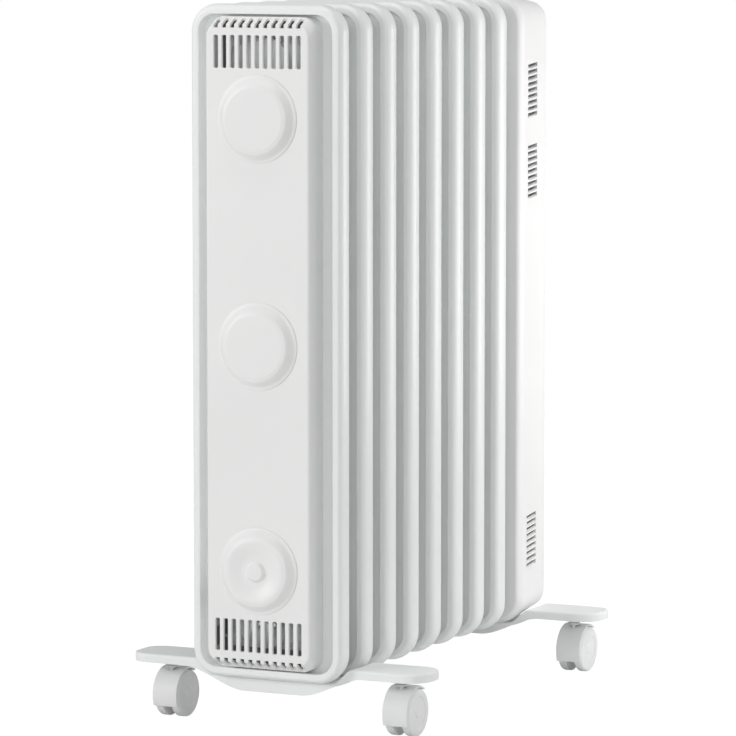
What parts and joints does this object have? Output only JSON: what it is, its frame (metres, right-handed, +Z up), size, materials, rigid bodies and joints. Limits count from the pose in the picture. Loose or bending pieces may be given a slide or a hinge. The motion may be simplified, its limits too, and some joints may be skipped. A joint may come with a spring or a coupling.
{
  "type": "oil filled radiator heater",
  "caption": "Upright oil filled radiator with folded steel fins in a row, a front control housing with round knobs, a louvred rear cover, and twin wheel swivel casters on foot brackets.",
  "frame": {"origin": "on the floor, under the middle of the heater's outer box", "axes": "+Z up, -Y towards the control housing at the front, +Y towards the rear cover, +X to the right hand of someone facing the controls"},
  "size_m": [0.296, 0.4876, 0.65],
  "materials": {
    "fin_paint": "white stoved enamel on pressed steel, semi-gloss",
    "bracket_paint": "white powder coat, satin",
    "cover_plastic": "white moulded plastic, fine satin grain",
    "knob_plastic": "white moulded plastic, satin",
    "wheel_plastic": "white nylon, satin",
    "bare_steel": "zinc plated steel",
    "dark_plastic": "black heat resistant plastic",
    "seal_rubber": "black rubber",
    "wire_insulation": "dark silicone sleeving",
    "brass": "turned brass"
  },
  "bodies": {
    "radiator": {"fin_1": "fin_paint", "fin_2": "fin_paint", "fin_3": "fin_paint", "fin_4": "fin_paint", "fin_5": "fin_paint", "fin_6": "fin_paint", "fin_7": "fin_paint", "fin_8": "fin_paint", "end_fin": "fin_paint", "front_bracket": "bracket_paint", "rear_bracket": "bracket_paint", "control_housing": "cover_plastic", "rear_cover": "cover_plastic", "heating_element": "bare_steel", "heat_shield": "bare_steel", "housing_screw": "bare_steel", "rear_cover_screw": "bare_steel", "thermostat_body": "bare_steel", "front_u_bolt": "bare_steel", "rear_u_bolt": "bare_steel", "front_left_wing_nut": "bare_steel", "front_right_wing_nut": "bare_steel", "rear_left_wing_nut": "bare_steel", "rear_right_wing_nut": "bare_steel", "front_left_caster_stem": "bare_steel", "front_right_caster_stem": "bare_steel", "rear_left_caster_stem": "bare_steel", "rear_right_caster_stem": "bare_steel", "cord_bushing": "dark_plastic", "power_switch_body": "dark_plastic", "timer_body": "dark_plastic", "terminal_block": "dark_plastic", "thermal_cutout": "dark_plastic", "tip_switch_body": "dark_plastic", "element_gasket": "seal_rubber", "wiring_loom": "wire_insulation", "oil_filler_plug": "brass"},
    "thermostat_control": {"thermostat_knob": "knob_plastic", "thermostat_shaft": "bare_steel"},
    "power_control": {"power_knob": "knob_plastic", "power_shaft": "bare_steel"},
    "timer_control": {"timer_knob": "knob_plastic", "timer_shaft": "bare_steel"},
    "tip_weight": {"tip_switch_weight": "brass"},
    "front_left_swivel": {"front_left_caster_hood": "wheel_plastic", "front_left_caster_axle": "bare_steel"},
    "front_left_left_wheel": {"front_left_caster_left_wheel": "wheel_plastic"},
    "front_left_right_wheel": {"front_left_caster_right_wheel": "wheel_plastic"},
    "front_right_swivel": {"front_right_caster_hood": "wheel_plastic", "front_right_caster_axle": "bare_steel"},
    "front_right_left_wheel": {"front_right_caster_left_wheel": "wheel_plastic"},
    "front_right_right_wheel": {"front_right_caster_right_wheel": "wheel_plastic"},
    "rear_left_swivel": {"rear_left_caster_hood": "wheel_plastic", "rear_left_caster_axle": "bare_steel"},
    "rear_left_left_wheel": {"rear_left_caster_left_wheel": "wheel_plastic"},
    "rear_left_right_wheel": {"rear_left_caster_right_wheel": "wheel_plastic"},
    "rear_right_swivel": {"rear_right_caster_hood": "wheel_plastic", "rear_right_caster_axle": "bare_steel"},
    "rear_right_left_wheel": {"rear_right_caster_left_wheel": "wheel_plastic"},
    "rear_right_right_wheel": {"rear_right_caster_right_wheel": "wheel_plastic"}
  },
  "joints": [
    {"name": "thermostat_turn", "type": "hinge", "parent": "radiator", "child": "thermostat_control", "pos_m": [0, -0.24125, 0.5495], "axis": [0, 1, 0], "range_deg": [0, 270]},
    {"name": "power_turn", "type": "hinge", "parent": "radiator", "child": "power_control", "pos_m": [0, -0.24125, 0.349], "axis": [0, 1, 0], "range_deg": [0, 180]},
    {"name": "timer_turn", "type": "hinge", "parent": "radiator", "child": "timer_control", "pos_m": [0, -0.24125, 0.1485], "axis": [0, 1, 0], "range_deg": [0, 330]},
    {"name": "tip_swing", "type": "hinge", "parent": "radiator", "child": "tip_weight", "pos_m": [0, -0.22425, 0.276], "axis": [0, 1, 0], "range_deg": [-50, 50]},
    {"name": "front_left_swivel_turn", "type": "hinge", "parent": "radiator", "child": "front_left_swivel", "pos_m": [-0.116, -0.18325, 0.046], "axis": [0, 0, 1], "continuous": true},
    {"name": "front_left_left_wheel_roll", "type": "hinge", "parent": "front_left_swivel", "child": "front_left_left_wheel", "pos_m": [-0.116, -0.17375, 0.0215], "axis": [1, 0, 0], "continuous": true},
    {"name": "front_left_right_wheel_roll", "type": "hinge", "parent": "front_left_swivel", "child": "front_left_right_wheel", "pos_m": [-0.116, -0.17375, 0.0215], "axis": [1, 0, 0], "continuous": true},
    {"name": "front_right_swivel_turn", "type": "hinge", "parent": "radiator", "child": "front_right_swivel", "pos_m": [0.116, -0.18325, 0.046], "axis": [0, 0, 1], "continuous": true},
    {"name": "front_right_left_wheel_roll", "type": "hinge", "parent": "front_right_swivel", "child": "front_right_left_wheel", "pos_m": [0.116, -0.17375, 0.0215], "axis": [1, 0, 0], "continuous": true},
    {"name": "front_right_right_wheel_roll", "type": "hinge", "parent": "front_right_swivel", "child": "front_right_right_wheel", "pos_m": [0.116, -0.17375, 0.0215], "axis": [1, 0, 0], "continuous": true},
    {"name": "rear_left_swivel_turn", "type": "hinge", "parent": "radiator", "child": "rear_left_swivel", "pos_m": [-0.116, 0.20075, 0.046], "axis": [0, 0, 1], "continuous": true},
    {"name": "rear_left_left_wheel_roll", "type": "hinge", "parent": "rear_left_swivel", "child": "rear_left_left_wheel", "pos_m": [-0.116, 0.21025, 0.0215], "axis": [1, 0, 0], "continuous": true},
    {"name": "rear_left_right_wheel_roll", "type": "hinge", "parent": "rear_left_swivel", "child": "rear_left_right_wheel", "pos_m": [-0.116, 0.21025, 0.0215], "axis": [1, 0, 0], "continuous": true},
    {"name": "rear_right_swivel_turn", "type": "hinge", "parent": "radiator", "child": "rear_right_swivel", "pos_m": [0.116, 0.20075, 0.046], "axis": [0, 0, 1], "continuous": true},
    {"name": "rear_right_left_wheel_roll", "type": "hinge", "parent": "rear_right_swivel", "child": "rear_right_left_wheel", "pos_m": [0.116, 0.21025, 0.0215], "axis": [1, 0, 0], "continuous": true},
    {"name": "rear_right_right_wheel_roll", "type": "hinge", "parent": "rear_right_swivel", "child": "rear_right_right_wheel", "pos_m": [0.116, 0.21025, 0.0215], "axis": [1, 0, 0], "continuous": true}
  ]
}
